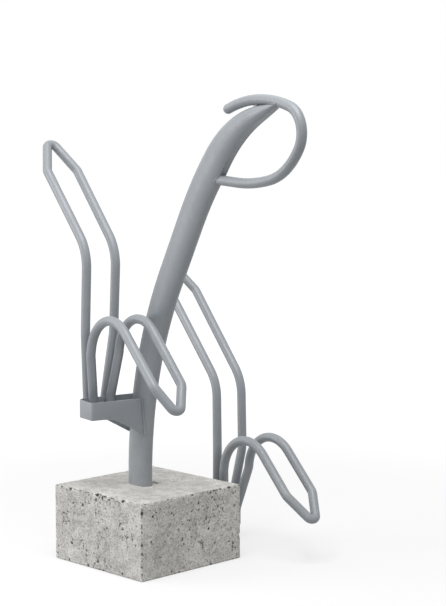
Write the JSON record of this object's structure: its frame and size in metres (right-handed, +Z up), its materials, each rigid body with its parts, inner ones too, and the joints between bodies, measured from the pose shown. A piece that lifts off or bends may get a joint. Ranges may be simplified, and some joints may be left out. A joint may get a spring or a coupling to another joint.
{
  "type": "hoop bike rack",
  "caption": "Free-standing rack on a concrete foot: an oval steel post bends into a hoop to lock to, with a high and a low pair of tube loops that hold wheels.",
  "frame": {"origin": "middle of the concrete foot's underside", "axes": "+Z up; +X from the high holder towards the low holder; -Y is the side that a wheel comes in from, and the hoop reaches out over it; the foot is turned 9.86 degrees about Z under the steel"},
  "size_m": [0.5014, 0.9097, 1.05],
  "materials": {
    "powder_coat": "satin blue-grey powder coat",
    "concrete": "cast concrete with open pores",
    "bare_steel": "bare mill steel, cast in"
  },
  "bodies": {
    "root": {"concrete_foot": "concrete", "post": "powder_coat", "neck_strip": "powder_coat", "post_foot_plate": "bare_steel", "hoop": "powder_coat", "hoop_end_cap": "powder_coat", "hoop_root_weld": "powder_coat", "hoop_seat_weld": "powder_coat", "high_bracket": "powder_coat", "high_bracket_welds": "powder_coat", "high_tall_loop": "powder_coat", "high_low_loop": "powder_coat", "high_loop_welds": "powder_coat", "low_arm": "powder_coat", "low_arm_weld": "bare_steel", "low_tall_loop": "powder_coat", "low_low_loop": "powder_coat", "low_loop_welds": "powder_coat"}
  },
  "joints": []
}
